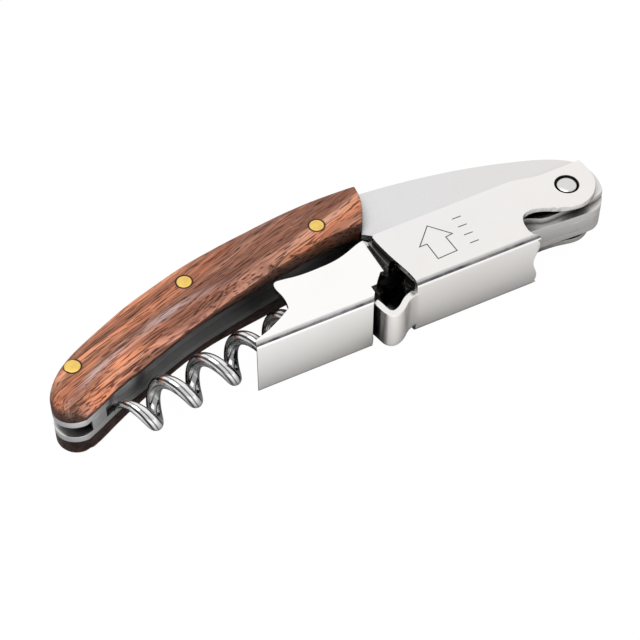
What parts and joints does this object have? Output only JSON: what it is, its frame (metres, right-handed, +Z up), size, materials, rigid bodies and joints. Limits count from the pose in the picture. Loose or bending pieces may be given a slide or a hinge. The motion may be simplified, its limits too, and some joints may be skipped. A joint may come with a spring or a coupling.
{
  "type": "waiters corkscrew",
  "caption": "Folded waiters corkscrew: curved riveted wood and steel handle, double-hinged steel lever with stepped notches, steel worm and folding serrated foil knife.",
  "frame": {"origin": "middle of the bounding box in plan, on the lower flat side the folded tool rests on", "axes": "+X along the tool from the knife end to the lever pivot, +Y from the levers toward the rounded back of the handle, +Z up through the thickness, parallel to every pivot pin"},
  "size_m": [0.1122, 0.03, 0.0136],
  "materials": {
    "rosewood": "oiled, semi-gloss, dark figure",
    "liner_steel": "satin",
    "bolster_steel": "brushed lengthwise",
    "lever_steel": "fine brushed, bends polished",
    "spring_steel": "ground",
    "blade_steel": "satin ground",
    "worm_steel": "polished",
    "pin_steel": "turned",
    "brass": "flush ground",
    "black_plastic": "gloss"
  },
  "bodies": {
    "handle": {"front_liner": "liner_steel", "rear_liner": "liner_steel", "front_bolster": "bolster_steel", "rear_bolster": "bolster_steel", "front_scale": "rosewood", "rear_scale": "rosewood", "back_strip": "spring_steel", "head_spacer": "spring_steel", "knife_pivot_pin": "brass", "middle_scale_pin": "brass", "head_scale_pin": "brass", "bolster_rivets": "bolster_steel", "worm_pivot_pin": "pin_steel", "lever_pivot_pin": "pin_steel", "knife_washers": "brass"},
    "lever": {"first_lever": "lever_steel", "lever_hinge_rivets": "lever_steel", "roller_pin": "lever_steel", "roller_spacers": "pin_steel"},
    "boot": {"second_lever": "lever_steel"},
    "worm": {"worm": "worm_steel"},
    "knife": {"foil_knife": "blade_steel"},
    "roller": {"channel_roller": "black_plastic"}
  },
  "joints": [
    {"name": "lever_swing", "type": "hinge", "parent": "handle", "child": "lever", "pos_m": [0.04934, -0.00203, 0.0068], "axis": [0, 0, 1], "range_deg": [0, 180]},
    {"name": "boot_fold", "type": "hinge", "parent": "lever", "child": "boot", "pos_m": [0.01244, -0.00073, 0.0068], "axis": [0, 0, 1], "range_deg": [-90, 0]},
    {"name": "worm_swing", "type": "hinge", "parent": "handle", "child": "worm", "pos_m": [0.02304, 0.00047, 0.0068], "axis": [0, 0, 1], "range_deg": [0, 90]},
    {"name": "knife_swing", "type": "hinge", "parent": "handle", "child": "knife", "pos_m": [-0.04995, -0.00184, 0.0068], "axis": [0, 0, 1], "range_deg": [0, 180]},
    {"name": "roller_spin", "type": "hinge", "parent": "lever", "child": "roller", "pos_m": [0.01375, -0.00843, 0.0068], "axis": [0, 0, 1], "continuous": true}
  ],
  "couplings": [
    {"joint": "boot_fold", "follows": "lever_swing", "ratio": -0.5},
    {"joint": "worm_swing", "follows": "lever_swing", "ratio": 0.5}
  ]
}
